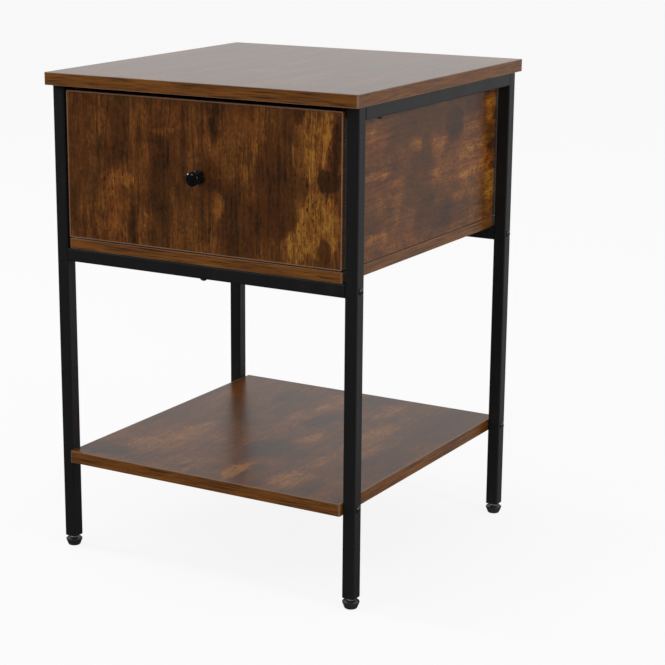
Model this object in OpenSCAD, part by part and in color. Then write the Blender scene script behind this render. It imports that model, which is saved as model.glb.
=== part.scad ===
// Side table with one drawer. Two welded side frames of square steel tube are
// joined by two bolted cross rails and a bolted shelf. A cabinet of laminated
// board stands on the cross rails under the tabletop and carries the drawer on
// roller runners. Every leg stands on a levelling foot.
// X runs across the front, -Y is the front and Z is up. The origin is on the
// floor, under the middle of the tabletop.

/* [Tabletop and boards] */
// Width of the tabletop
top_w = 395; // [340:1:520]
// Depth of the tabletop
top_d = 395; // [330:1:520]
// Height of the tabletop's upper face above the floor
table_h = 554; // [440:1:700]
// Thickness of the tabletop, the shelf and the drawer front
board_t = 14; // [12:0.5:22]
// Thickness of the cabinet's floor and sides and of the drawer box
panel_t = 12; // [10:0.5:18]
// Thickness of the hardboard back and drawer bottom
sheet_t = 3; // [2.5:0.5:5]
// Thickness of the bands on the visible board edges
band_t = 1.5; // [0.8:0.1:2]
// Radius along the outer edges of the bands
band_edge_r = 0.8; // [0.3:0.1:1]
// Radius on the upright corners of banded boards
board_corner_r = 2.5; // [1:0.1:4]

/* [Steel frame] */
// Outside size of the square tube
tube = 15; // [12:0.5:20]
// Wall of the square tube
tube_wall = 1.2; // [0.8:0.1:1.8]
// Radius on the long corners of the tube
tube_r = 2; // [1:0.1:3]
// From the tabletop's side edge to a leg's outer face
leg_inset_x = 4; // [2:0.5:25]
// From the tabletop's front or rear edge to a leg's face
leg_inset_y = 10; // [8:0.5:35]
// Depth of the plastic plug inside a leg's end
plug_depth = 18; // [12:1:25]
// Rim of the plug that covers the tube's end
plug_rim = 1.5; // [1:0.1:3]

/* [Cabinet] */
// Clear height between the cabinet's floor and the tabletop
cabinet_h = 171; // [120:1:240]
// Gap between a leg's inner face and the cabinet's side
cabinet_gap = 3; // [1:0.5:8]
// Shadow gap under the side panels
panel_joint = 1; // [0:0.1:2]
// From the rear edge of a side panel to the groove for the back
back_inset = 6; // [4:0.5:15]

/* [Shelf] */
// Height of the shelf's upper face above the floor
shelf_h = 119.5; // [60:0.5:220]
// Projection of the shelf past the legs, front and rear
shelf_over = 6; // [0:0.5:12]

/* [Drawer] */
// Gap between the drawer front and the tabletop
front_top_gap = 5; // [2:0.5:12]
// Gap between the drawer front and the cabinet's floor
front_floor_gap = 1; // [0.6:0.1:4]
// Gap behind the closed drawer front
front_back_gap = 1; // [0.5:0.1:3]
// How much narrower the drawer front is than the cabinet, each side
front_trim = 0.5; // [0:0.1:2]
// Space for a runner between cabinet side and drawer side
runner_gap = 12.5; // [12.5:0.1:13.5]
// Height of the drawer box above the cabinet's floor
drawer_lift = 14; // [12:0.5:25]
// From the top of the drawer box to the tabletop
drawer_headroom = 36; // [10:1:70]
// Height of the drawer bottom's groove above the box's lower edge
bottom_lift = 8; // [6:0.5:20]
// Part of a runner's length that stays inside at full extension
runner_reserve = 65; // [60:1:120]

/* [Knob] */
// Diameter of the knob's head
knob_d = 15.8; // [14:0.2:30]
// Diameter of the knob's foot
knob_foot_d = 15.4; // [10:0.2:24]
// Diameter of the knob's neck
knob_neck_d = 13.4; // [7:0.2:14.4]
// Projection of the knob from the drawer front
knob_h = 17; // [15:0.5:35]

/* [Levelling feet] */
// Diameter of the foot pad
foot_d = 19; // [14:0.5:30]
// Height of the foot pad
foot_h = 8.5; // [7:0.5:14]
// Gap between the foot pad and the leg
foot_gap = 3.5; // [1:0.5:12]
// Diameter of the foot's threaded stud
stud_d = 6; // [5:0.5:7]
// Length of the stud above the pad
stud_len = 20; // [14:1:30]

/* [Fasteners] */
// Diameter of the frame bolts
bolt_d = 5; // [4:0.5:6]
// Length of the frame bolts under the head
bolt_len = 26; // [22:1:30]
// Diameter of the frame bolts' domed heads
bolt_head_d = 8.6; // [7.5:0.1:10]
// Height of the frame bolts' domed heads
bolt_head_h = 2.6; // [1.5:0.1:3]
// Diameter of the wood screws
screw_d = 4; // [3:0.1:5]
// Diameter of the wood screws' pan heads
screw_head_d = 7.6; // [6:0.1:9]

/* [Clearances] */
// Added to the radius of holes that a bolt or screw passes through
hole_clear = 0.3; // [0.1:0.05:0.5]
// Radial play of a roller on its axle and of a stud in its plug
running_clear = 0.06; // [0.02:0.01:0.1]
// Play around pieces that are pushed into a board or tube
fit_clear = 0.05; // [0:0.01:0.15]
// Gap between a roller and the track that it rolls on
roller_gap = 0.3; // [0.25:0.05:0.5]

/* [Hidden] */
$fn = 48;
bite = 1;                       // how far a cutting tool runs past a face
board_colour = "#7a4f2c";
band_colour = "#6b4526";
inside_colour = "#8a6a4c";
steel_colour = "#1c1c1e";
zinc_colour = "#b4b6b8";
runner_colour = "#2a2a2c";
plastic_colour = "#141414";
white_plastic = "#e6e4de";

// Frame
tube_end_z = foot_h + foot_gap;
leg_z0 = tube_end_z + plug_rim;
top_z = table_h - board_t;
leg_x = top_w / 2 - leg_inset_x - tube / 2;
leg_y = top_d / 2 - leg_inset_y - tube / 2;
leg_in_x = leg_x - tube / 2;
leg_out_x = leg_x + tube / 2;
frame_y = leg_y + tube / 2;
bore_side = tube - 2 * tube_wall;
bore_r = max(0.3, tube_r - tube_wall);
nut_len = 12;
bolt_socket_d = bolt_d * 0.66;
top_screw_y = leg_y - 49;               // screws from the top rails into the tabletop

// Cabinet
floor_top = top_z - cabinet_h;
floor_z = floor_top - panel_t;
rail_z = floor_z - tube;
rail_mid_z = rail_z + tube / 2;
cab_x = leg_in_x - cabinet_gap;
cab_in_x = cab_x - panel_t;
panel_z = floor_top + panel_joint;
panel_y0 = -frame_y + board_t + front_back_gap;
panel_len = frame_y - panel_y0;
groove_depth = panel_t * 0.4;
back_y = frame_y - back_inset - sheet_t;
panel_joint_y = panel_len * 0.37;       // fasteners, before and behind the panel's middle
panel_mid_y = (frame_y + panel_y0) / 2;
dowel_d = panel_t / 2;
dowel_up = 8;
dowel_down = 16;
cam_d = 12;
cam_depth = panel_t - 2.5;
cam_reach = 24;                         // from a board's face to the middle of a cam lock
cam_bolt_d = 5;
cam_bite = 8;                           // how deep a cam bolt is screwed into a board
base_screw_len = 38;
base_screw_head_d = 7;
counterbore = 2.5;                      // depth of the recess that a base screw's head seats in
head_sink = 0.2;                        // how far that head lies below the surface

// Shelf
shelf_z = shelf_h - board_t;
shelf_mid_z = shelf_z + board_t / 2;
shelf_y = frame_y + shelf_over;
insert_d = 8;
insert_len = 13;

// Drawer
front_x = cab_x - front_trim;
front_z = floor_top + front_floor_gap;
front_h = top_z - front_top_gap - front_z;
front_back_y = -frame_y + board_t;
box_x = cab_in_x - runner_gap;
box_in_x = box_x - panel_t;
box_z = floor_top + drawer_lift;
box_h = top_z - drawer_headroom - box_z;
runner_step = 50;                       // runners are made in steps of this length
runner_len = floor((panel_len - 20) / runner_step) * runner_step;
box_len = runner_len + 10;
box_y1 = front_back_y + box_len;
bottom_z = box_z + bottom_lift;
cam_heights = [box_z + box_h * 0.25, box_z + box_h * 0.75];

// Runners, each seen from its cabinet side inwards
runner_t = 1.2;
runner_h = 26;
runner_lip = 9.5;
roller_d = 15;
roller_w = 5.5;
axle_d = 4;
axle_head_d = 6.4;
axle_head_t = 1;
roller_play = 0.3;                      // side play of a roller on its axle
front_roller_in = 3.2;                  // from the cabinet side to the front roller
rear_roller_in = 3.6;                   // from the cabinet side to the rear roller
runner_z = box_z - 8;
runner_y0 = panel_y0 + 2.5;
roller_z = runner_z + runner_t + roller_gap + roller_d / 2;
track_z = roller_z + roller_d / 2 + roller_gap;
track_in = 3;
drawer_runner_y0 = front_back_y + 1;
front_roller_y = runner_y0 + 7;
rear_roller_y = drawer_runner_y0 + runner_len - 6.5;
drawer_travel = runner_len - runner_reserve;
stop_d = 5;
stop_y = rear_roller_y - drawer_travel - roller_d / 2 - stop_d / 2 - 0.5;
runner_screw_ys = [20, runner_len / 2, runner_len - 25];
runner_screw_d = 3.4;
runner_screw_head_d = 6.4;
runner_screw_head_t = 1.2;
runner_screw_len = 9;
box_screw_len = min(runner_screw_len, bottom_lift - 0.5);   // stops short of the bottom's groove
knob_screw_d = 4;
knob_z = front_z + front_h / 2;
knob_thread = 9;
knob_screw_head_d = 8;
knob_screw_head_t = 2.4;

sides = [-1, 1];

// ---- Shared shapes ----

// Rectangle with round corners, centred
module round_rect(w, h, r) {
    square([w - 2 * r, h], center = true);
    square([w, h - 2 * r], center = true);
    for (x = sides, y = sides)
        translate([x * (w / 2 - r), y * (h / 2 - r)]) circle(r);
}

// Square tube of a length, standing on the origin
module square_tube(len) {
    linear_extrude(len) difference() {
        round_rect(tube, tube, tube_r);
        round_rect(bore_side, bore_side, bore_r);
    }
}

// The same tube, centred, along X
module tube_x(len) {
    translate([-len / 2, 0, 0]) rotate([90, 0, 90]) square_tube(len);
}

// Cylinder between two X places, on the line through y and z
module rod_x(d, x0, x1, y, z) {
    translate([min(x0, x1), y, z]) rotate([0, 90, 0]) cylinder(d = d, h = abs(x1 - x0));
}

// Cylinder between two Y places, on the line through x and z
module rod_y(d, y0, y1, x, z) {
    translate([x, min(y0, y1), z]) rotate([-90, 0, 0]) cylinder(d = d, h = abs(y1 - y0));
}

// Cylinder between two heights, on the line through x and y
module rod_z(d, z0, z1, x, y) {
    translate([x, y, z0]) cylinder(d = d, h = z1 - z0);
}

// Puts a right-hand piece on either side
module on_side(side) {
    if (side > 0) children();
    else mirror([1, 0, 0]) children();
}

// Board with soft edges and corners, centred on X and Y, standing on z = 0
module soft_board(w, d, t) {
    intersection() {
        linear_extrude(t) round_rect(w, d, board_corner_r);
        rotate([90, 0, 0]) linear_extrude(d + bite, center = true)
            translate([0, t / 2]) round_rect(w, t, band_edge_r);
        rotate([90, 0, 90]) linear_extrude(w + bite, center = true)
            translate([0, t / 2]) round_rect(d, t, band_edge_r);
    }
}

// The core of a banded board
module board_core(w, d, t) {
    translate([band_t - w / 2, band_t - d / 2, 0]) cube([w - 2 * band_t, d - 2 * band_t, t]);
}

// The four bands round a board: two long ones, and two between them
module board_bands(w, d, t) {
    for (s = sides) {
        intersection() {
            soft_board(w, d, t);
            translate([-w / 2 - bite, s * (d - band_t) / 2 - band_t / 2, -bite])
                cube([w + 2 * bite, band_t, t + 2 * bite]);
        }
        intersection() {
            soft_board(w, d, t);
            translate([s * (w - band_t) / 2 - band_t / 2, band_t + fit_clear - d / 2, -bite])
                cube([band_t, d - 2 * (band_t + fit_clear), t + 2 * bite]);
        }
    }
}

// Domed bolt along X whose head sits on x, pointing inwards
module frame_bolt(x, y, z) {
    dome_r = (pow(bolt_head_d / 2, 2) + pow(bolt_head_h, 2)) / (2 * bolt_head_h);
    translate([x, y, z]) rotate([0, 90, 0]) difference() {
        rotate_extrude() {
            translate([0, -bolt_len]) square([bolt_d / 2, bolt_len + bolt_head_h / 2]);
            intersection() {
                translate([0, bolt_head_h - dome_r]) circle(dome_r);
                square([bolt_head_d / 2, bolt_head_h]);
            }
        }
        translate([0, 0, bolt_head_h * 0.3]) cylinder(d = bolt_socket_d, h = bolt_head_h, $fn = 6);
    }
}

// Screw that points up from z, with a domed pan head below
module upward_screw(x, y, z, len) {
    head_h = screw_head_d * 0.45;
    rod_z(screw_d, z, z + len, x, y);
    difference() {
        intersection() {
            rod_z(screw_head_d, z - head_h, z, x, y);
            translate([x, y, z - head_h + screw_head_d * 0.62]) sphere(screw_head_d * 0.62, $fn = 64);
        }
        for (turn = [0, 90])
            translate([x, y, z - head_h]) rotate([0, 0, turn])
                cube([screw_head_d * 0.5, 0.9, head_h], center = true);
    }
}

// ---- Tabletop ----

module tabletop_board() {
    color(board_colour) difference() {
        translate([0, 0, top_z]) board_core(top_w, top_d, board_t);
        for (x = sides, y = sides) {
            rod_z(screw_d + 2 * fit_clear, top_z - bite, top_z + board_t * 0.7, x * leg_x, y * top_screw_y);
            rod_z(cam_bolt_d + 2 * fit_clear, top_z - bite, top_z + cam_bite, x * (cab_x - panel_t / 2),
                panel_mid_y + y * panel_joint_y);
            rod_z(dowel_d + 2 * fit_clear, top_z - bite, top_z + dowel_up, x * (cab_x - panel_t / 2),
                panel_mid_y + y * panel_joint_y / 2);
        }
    }
}

module tabletop_edge_bands() {
    color(band_colour) translate([0, 0, top_z]) board_bands(top_w, top_d, board_t);
}

// ---- Steel frame ----

module leg(x, y) {
    color(steel_colour) difference() {
        translate([x * leg_x, y * leg_y, leg_z0]) square_tube(top_z - leg_z0);
        for (z = [rail_mid_z, shelf_mid_z])
            rod_x(bolt_d + 2 * hole_clear, x * (leg_in_x - bite), x * (leg_out_x + bite), y * leg_y, z);
    }
}

module top_rail(x) {
    len = 2 * (leg_y - tube / 2);
    color(steel_colour) difference() {
        translate([x * leg_x, 0, top_z - tube / 2]) rotate([0, 0, 90]) tube_x(len);
        for (y = sides)
            rod_z(screw_d + 2 * hole_clear, top_z - tube - bite, top_z + bite, x * leg_x, y * top_screw_y);
    }
}

module cross_rail(y) {
    color(steel_colour) difference() {
        translate([0, y * leg_y, rail_mid_z]) tube_x(2 * leg_in_x);
        rod_z(screw_d + 2 * hole_clear, rail_z - bite, floor_z + bite, 0, y * leg_y);
    }
}

module rail_end_nuts() {
    side = bore_side - 2 * fit_clear;
    color(zinc_colour) for (x = sides, y = sides)
        difference() {
            translate([x * (leg_in_x - nut_len / 2), y * leg_y, rail_mid_z]) rotate([90, 0, 90])
                linear_extrude(nut_len, center = true) round_rect(side, side, bore_r);
            rod_x(bolt_d + 2 * fit_clear, x * (leg_in_x - nut_len - bite), x * (leg_in_x + bite),
                y * leg_y, rail_mid_z);
        }
}

module rail_bolts() {
    color(steel_colour) for (x = sides, y = sides)
        on_side(x) frame_bolt(leg_out_x, y * leg_y, rail_mid_z);
}

module leg_end_plugs() {
    side = bore_side - 2 * fit_clear;
    color(plastic_colour) for (x = sides, y = sides)
        difference() {
            union() {
                translate([x * leg_x, y * leg_y, tube_end_z]) linear_extrude(plug_rim)
                    round_rect(tube, tube, tube_r);
                translate([x * leg_x, y * leg_y, leg_z0]) linear_extrude(plug_depth)
                    round_rect(side, side, bore_r);
            }
            rod_z(stud_d + 2 * running_clear, tube_end_z - bite, leg_z0 + plug_depth + bite,
                x * leg_x, y * leg_y);
        }
}

module tabletop_screws() {
    color(steel_colour) for (x = sides, y = sides)
        upward_screw(x * leg_x, y * top_screw_y, top_z - tube, tube + board_t * 0.65);
}

// ---- Cabinet ----

module bottom_board() {
    color(board_colour) difference() {
        translate([0, 0, floor_z]) board_core(2 * cab_x, 2 * frame_y, panel_t);
        for (y = sides) {
            rod_z(screw_d + 2 * fit_clear, floor_z - bite, floor_z + panel_t * 0.75, 0, y * leg_y);
            for (x = sides) {
                rod_z(screw_d + 2 * fit_clear, floor_z - bite, floor_top + bite,
                    x * (cab_x - panel_t / 2), panel_mid_y + y * panel_joint_y);
                rod_z(base_screw_head_d + 2 * fit_clear, floor_z - bite, floor_z + counterbore,
                    x * (cab_x - panel_t / 2), panel_mid_y + y * panel_joint_y);
            }
        }
    }
}

module bottom_board_edge_bands() {
    color(band_colour) translate([0, 0, floor_z]) board_bands(2 * cab_x, 2 * frame_y, panel_t);
}

module bottom_board_screws() {
    color(steel_colour) for (y = sides)
        upward_screw(0, y * leg_y, rail_z, tube + panel_t * 0.7);
}

module side_panel(side) {
    x = cab_x - panel_t / 2;
    color(board_colour) on_side(side) difference() {
        translate([cab_in_x, panel_y0, panel_z]) cube([panel_t, panel_len, top_z - panel_z]);
        translate([cab_in_x - bite, back_y - fit_clear, panel_z - bite])
            cube([groove_depth + bite, sheet_t + 2 * fit_clear, top_z - panel_z + 2 * bite]);
        for (s = sides) {
            y = panel_mid_y + s * panel_joint_y;
            rod_z(screw_d + 2 * fit_clear, panel_z - bite, floor_z + base_screw_len + bite, x, y);
            rod_z(cam_bolt_d + 2 * fit_clear, top_z - cam_reach, top_z + bite, x, y);
            rod_x(cam_d + 2 * fit_clear, cab_in_x - bite, cab_in_x + cam_depth, y, top_z - cam_reach);
            rod_z(dowel_d + 2 * fit_clear, top_z - dowel_down, top_z + bite, x,
                panel_mid_y + s * panel_joint_y / 2);
            for (along = runner_screw_ys)
                rod_x(runner_screw_d + 2 * fit_clear, cab_in_x - bite, cab_in_x + runner_screw_len,
                    runner_y0 + along, runner_z + runner_h - 5);
        }
    }
}

module back_panel() {
    half_w = cab_in_x + groove_depth - 2 * fit_clear;
    color(inside_colour) translate([-half_w, back_y, floor_top])
        cube([2 * half_w, sheet_t, cabinet_h]);
}

module panel_base_screws() {
    color(zinc_colour) for (x = sides, y = sides) {
        at = [x * (cab_x - panel_t / 2), panel_mid_y + y * panel_joint_y];
        rod_z(screw_d, floor_z + head_sink, floor_z + base_screw_len, at[0], at[1]);
        rod_z(base_screw_head_d, floor_z + head_sink, floor_z + counterbore, at[0], at[1]);
    }
}

module panel_cam_bolts() {
    color(zinc_colour) for (x = sides, y = sides)
        rod_z(cam_bolt_d, top_z - cam_reach + 3, top_z + cam_bite - 0.5, x * (cab_x - panel_t / 2),
            panel_mid_y + y * panel_joint_y);
}

module panel_cam_locks() {
    color(zinc_colour) for (x = sides, y = sides)
        on_side(x) difference() {
            rod_x(cam_d, cab_in_x, cab_in_x + cam_depth - 0.2, panel_mid_y + y * panel_joint_y,
                top_z - cam_reach);
            rod_z(cam_bolt_d + 2 * hole_clear, top_z - cam_reach, top_z, cab_x - panel_t / 2,
                panel_mid_y + y * panel_joint_y);
            translate([cab_in_x, panel_mid_y + y * panel_joint_y, top_z - cam_reach])
                cube([2, 1.2, cam_d * 0.6], center = true);
        }
}

module panel_dowels() {
    color("#c9a36b") for (x = sides, y = sides)
        rod_z(dowel_d, top_z - dowel_down + 0.5, top_z + dowel_up - 0.5,
            x * (cab_x - panel_t / 2), panel_mid_y + y * panel_joint_y / 2);
}

// ---- Shelf ----

module shelf_board() {
    color(board_colour) difference() {
        translate([0, 0, shelf_z]) board_core(2 * leg_in_x, 2 * shelf_y, board_t);
        for (x = sides, y = sides)
            rod_x(insert_d + 2 * fit_clear, x * (leg_in_x - insert_len - 0.5), x * (leg_in_x + bite),
                y * leg_y, shelf_mid_z);
    }
}

module shelf_edge_bands() {
    color(band_colour) difference() {
        translate([0, 0, shelf_z]) board_bands(2 * leg_in_x, 2 * shelf_y, board_t);
        for (x = sides, y = sides)
            rod_x(insert_d + 2 * fit_clear, x * (leg_in_x - insert_len), x * (leg_in_x + bite),
                y * leg_y, shelf_mid_z);
    }
}

module shelf_insert_nuts() {
    color(zinc_colour) for (x = sides, y = sides)
        difference() {
            rod_x(insert_d, x * (leg_in_x - insert_len), x * leg_in_x, y * leg_y, shelf_mid_z);
            rod_x(bolt_d + 2 * fit_clear, x * (leg_in_x - insert_len - bite), x * (leg_in_x + bite),
                y * leg_y, shelf_mid_z);
        }
}

module shelf_bolts() {
    color(steel_colour) for (x = sides, y = sides)
        on_side(x) frame_bolt(leg_out_x, y * leg_y, shelf_mid_z);
}

// ---- Runners ----

// Channel on the cabinet side: a web, a lower track and an upper guard
module cabinet_runner(side) {
    color(runner_colour) on_side(side) difference() {
        union() {
            translate([cab_in_x - runner_t, runner_y0, runner_z]) cube([runner_t, runner_len, runner_h]);
            for (z = [runner_z, runner_z + runner_h - runner_t])
                translate([cab_in_x - runner_lip, runner_y0, z]) cube([runner_lip, runner_len, runner_t]);
            rod_x(stop_d, cab_in_x - rear_roller_in - 2, cab_in_x - runner_t / 2, stop_y, roller_z);
        }
        rod_x(axle_d, cab_in_x - runner_t - bite, cab_in_x + bite, front_roller_y, roller_z);
        for (along = runner_screw_ys)
            rod_x(runner_screw_d + 2 * hole_clear, cab_in_x - runner_t - bite, cab_in_x + bite,
                runner_y0 + along, runner_z + runner_h - 5);
    }
}

module cabinet_runner_screws() {
    color(zinc_colour) for (x = sides, along = runner_screw_ys) {
        y = runner_y0 + along;
        z = runner_z + runner_h - 5;
        rod_x(runner_screw_d, x * (cab_in_x - runner_t), x * (cab_in_x + runner_screw_len - 0.5), y, z);
        rod_x(runner_screw_head_d, x * (cab_in_x - runner_t - runner_screw_head_t),
            x * (cab_in_x - runner_t), y, z);
    }
}

// Axle, shoulder and head of the roller on the cabinet's channel
module front_roller_axles() {
    roller_end = front_roller_in + roller_w;
    color(zinc_colour) for (s = sides)
        on_side(s) {
            rod_x(axle_d, cab_in_x, cab_in_x - roller_end - roller_play - axle_head_t,
                front_roller_y, roller_z);
            rod_x(axle_head_d, cab_in_x - runner_t, cab_in_x - front_roller_in + roller_play,
                front_roller_y, roller_z);
            rod_x(axle_head_d, cab_in_x - roller_end - roller_play,
                cab_in_x - roller_end - roller_play - axle_head_t, front_roller_y, roller_z);
        }
}

// Angle on the drawer side: an outward track above, a web, and a flange below the side
module drawer_runner(side) {
    web_top = track_z + runner_t;
    web_z = box_z - runner_t;
    color(runner_colour) on_side(side) difference() {
        union() {
            translate([box_x, drawer_runner_y0, web_z]) cube([runner_t, runner_len, web_top - web_z]);
            translate([box_x, drawer_runner_y0, track_z])
                cube([runner_gap - track_in, runner_len, runner_t]);
            translate([box_x - panel_t * 0.8, drawer_runner_y0, web_z])
                cube([panel_t * 0.8 + runner_t, runner_len, runner_t]);
        }
        rod_x(axle_d, box_x - bite, box_x + runner_t + bite, rear_roller_y, roller_z);
        for (along = runner_screw_ys)
            rod_z(runner_screw_d + 2 * hole_clear, web_z - bite, box_z + bite, box_x - panel_t / 2,
                drawer_runner_y0 + along);
    }
}

module drawer_runner_screws() {
    color(zinc_colour) for (x = sides, along = runner_screw_ys) {
        y = drawer_runner_y0 + along;
        z = box_z - runner_t;
        rod_z(runner_screw_d, z, box_z + box_screw_len - 0.5, x * (box_x - panel_t / 2), y);
        rod_z(runner_screw_head_d, z - runner_screw_head_t, z, x * (box_x - panel_t / 2), y);
    }
}

// Axle, shoulder and head of the roller on the drawer's angle
module rear_roller_axles() {
    color(zinc_colour) for (s = sides)
        on_side(s) {
            rod_x(axle_d, box_x, cab_in_x - rear_roller_in + roller_play + axle_head_t,
                rear_roller_y, roller_z);
            rod_x(axle_head_d, box_x + runner_t, cab_in_x - rear_roller_in - roller_w - roller_play,
                rear_roller_y, roller_z);
            rod_x(axle_head_d, cab_in_x - rear_roller_in + roller_play,
                cab_in_x - rear_roller_in + roller_play + axle_head_t, rear_roller_y, roller_z);
        }
}

// Plastic roller whose outer end is a distance in from the cabinet side
module roller(side, inset, y) {
    x = cab_in_x - inset;
    color(white_plastic) on_side(side) difference() {
        rod_x(roller_d, x - roller_w, x, y, roller_z);
        rod_x(axle_d + 2 * running_clear, x - roller_w - bite, x + bite, y, roller_z);
    }
}

// ---- Drawer ----

// Turns a flat board so that its upper face looks to the front
module stand_up() {
    translate([0, -frame_y + board_t, front_z + front_h / 2]) rotate([90, 0, 0]) children();
}

module drawer_front_board() {
    color(board_colour) difference() {
        stand_up() board_core(2 * front_x, front_h, board_t);
        rod_y(knob_screw_d + 2 * hole_clear, -frame_y - bite, front_back_y + bite, 0, knob_z);
        translate([-box_in_x - groove_depth, front_back_y - groove_depth, bottom_z - fit_clear])
            cube([2 * (box_in_x + groove_depth), groove_depth + bite, sheet_t + 2 * fit_clear]);
        for (x = sides, z = cam_heights)
            rod_y(cam_bolt_d + 2 * fit_clear, front_back_y - cam_bite, front_back_y + bite,
                x * (box_x - panel_t / 2), z);
    }
}

module drawer_front_edge_bands() {
    color(band_colour) stand_up() board_bands(2 * front_x, front_h, board_t);
}

module drawer_side(side) {
    x = box_x - panel_t / 2;
    color(inside_colour) on_side(side) difference() {
        translate([box_in_x, front_back_y, box_z]) cube([panel_t, box_len, box_h]);
        translate([box_in_x - bite, front_back_y - bite, bottom_z - fit_clear])
            cube([groove_depth + bite, box_len - panel_t / 2 + bite, sheet_t + 2 * fit_clear]);
        for (z = cam_heights) {
            rod_y(cam_bolt_d + 2 * fit_clear, front_back_y - bite, front_back_y + cam_reach, x, z);
            rod_x(cam_d + 2 * fit_clear, box_x - cam_depth, box_x + bite, front_back_y + cam_reach, z);
            rod_x(screw_d + 2 * fit_clear, box_in_x - bite, box_x + bite, box_y1 - panel_t / 2, z);
            rod_x(base_screw_head_d + 2 * fit_clear, box_x - counterbore, box_x + bite,
                box_y1 - panel_t / 2, z);
        }
        for (along = runner_screw_ys)
            rod_z(runner_screw_d + 2 * fit_clear, box_z - bite, box_z + box_screw_len, x,
                drawer_runner_y0 + along);
    }
}

module drawer_back() {
    color(inside_colour) difference() {
        translate([-box_in_x, box_y1 - panel_t, box_z]) cube([2 * box_in_x, panel_t, box_h]);
        translate([-box_in_x - bite, box_y1 - panel_t - bite, bottom_z - fit_clear])
            cube([2 * (box_in_x + bite), groove_depth + bite, sheet_t + 2 * fit_clear]);
        for (x = sides, z = cam_heights)
            rod_x(screw_d + 2 * fit_clear, x * (box_in_x - base_screw_len), x * (box_in_x + bite),
                box_y1 - panel_t / 2, z);
    }
}

module drawer_bottom() {
    in = groove_depth - 2 * fit_clear;
    color(inside_colour) translate([-box_in_x - in, front_back_y - in, bottom_z])
        cube([2 * (box_in_x + in), box_len - panel_t + 2 * in, sheet_t]);
}

module drawer_cam_bolts() {
    color(zinc_colour) for (x = sides, z = cam_heights)
        rod_y(cam_bolt_d, front_back_y - cam_bite + 0.5, front_back_y + cam_reach - 3,
            x * (box_x - panel_t / 2), z);
}

module drawer_cam_locks() {
    color(zinc_colour) for (x = sides, z = cam_heights)
        on_side(x) difference() {
            rod_x(cam_d, box_x - cam_depth + 0.2, box_x, front_back_y + cam_reach, z);
            rod_y(cam_bolt_d + 2 * hole_clear, front_back_y, front_back_y + cam_reach,
                box_x - panel_t / 2, z);
            translate([box_x, front_back_y + cam_reach, z]) cube([2, 1.2, cam_d * 0.6], center = true);
        }
}

module drawer_box_screws() {
    y = box_y1 - panel_t / 2;
    color(zinc_colour) for (x = sides, z = cam_heights) {
        rod_x(screw_d, x * (box_x - base_screw_len), x * (box_x - head_sink), y, z);
        rod_x(base_screw_head_d, x * (box_x - counterbore), x * (box_x - head_sink), y, z);
    }
}

// Mushroom knob turned about its screw: a foot, a flared neck and a domed head
module drawer_knob() {
    head_r = knob_d / 2;
    foot_r = knob_foot_d / 2;
    neck_r = knob_neck_d / 2;
    edge = 0.6;                                  // rounding of the foot's rim
    foot_t = 1.4;
    ring_h = knob_h - head_r * 0.44;             // height of the head's widest ring
    waist = [foot_t + (ring_h - foot_t) * 0.38, foot_t + (ring_h - foot_t) * 0.5];
    lip_h = ring_h - head_r * 0.24;              // height where the neck meets the head
    lip_angle = -25;
    lip_r = head_r * cos(lip_angle);
    color(plastic_colour) translate([0, -frame_y, knob_z]) rotate([90, 0, 0]) difference() {
        rotate_extrude() polygon(concat(
            [[0, 0], [foot_r, 0]],
            [for (a = [0:30:90]) [foot_r - edge + edge * cos(a), foot_t - edge + edge * sin(a)]],
            [for (a = [15:15:90]) [neck_r + (foot_r - edge - neck_r) * (1 - sin(a)),
                foot_t + (waist[0] - foot_t) * (1 - cos(a))]],
            [for (a = [0:15:90]) [neck_r + (lip_r - neck_r) * (1 - cos(a)),
                waist[1] + (lip_h - waist[1]) * sin(a)]],
            [for (a = [lip_angle + 5:5:90]) [head_r * cos(a),
                ring_h + (a < 0 ? ring_h - lip_h : knob_h - ring_h) * sin(a)]]));
        translate([0, 0, -bite]) cylinder(d = knob_screw_d + 2 * fit_clear, h = knob_thread + bite);
    }
}

module knob_screw() {
    color(zinc_colour) {
        rod_y(knob_screw_d, -frame_y - knob_thread + 0.5, front_back_y, 0, knob_z);
        difference() {
            rod_y(knob_screw_head_d, front_back_y, front_back_y + knob_screw_head_t, 0, knob_z);
            for (turn = [0, 90])
                translate([0, front_back_y + knob_screw_head_t, knob_z]) rotate([0, turn, 0])
                    cube([knob_screw_head_d * 0.55, 2.2, 1], center = true);
        }
    }
}

// ---- Levelling feet ----

module foot_pad(x, y) {
    r = foot_d / 2;
    color(plastic_colour) translate([x * leg_x, y * leg_y, 0]) difference() {
        rotate_extrude() polygon(concat(
            [[0, 0]],
            [for (a = [-90:15:-15]) [r * 0.62 + r * 0.14 * cos(a), r * 0.16 * (1 + sin(a))]],
            [for (a = [-30:15:90]) [r * 0.88 + r * 0.12 * cos(a), foot_h - r * 0.14 + r * 0.14 * sin(a)]],
            [[0, foot_h]]));
        translate([0, 0, foot_h / 2]) cylinder(d = stud_d + 2 * fit_clear, h = foot_h);
    }
}

module foot_stud(x, y) {
    color(zinc_colour) rod_z(stud_d, foot_h / 2, foot_h + stud_len, x * leg_x, y * leg_y);
}

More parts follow.
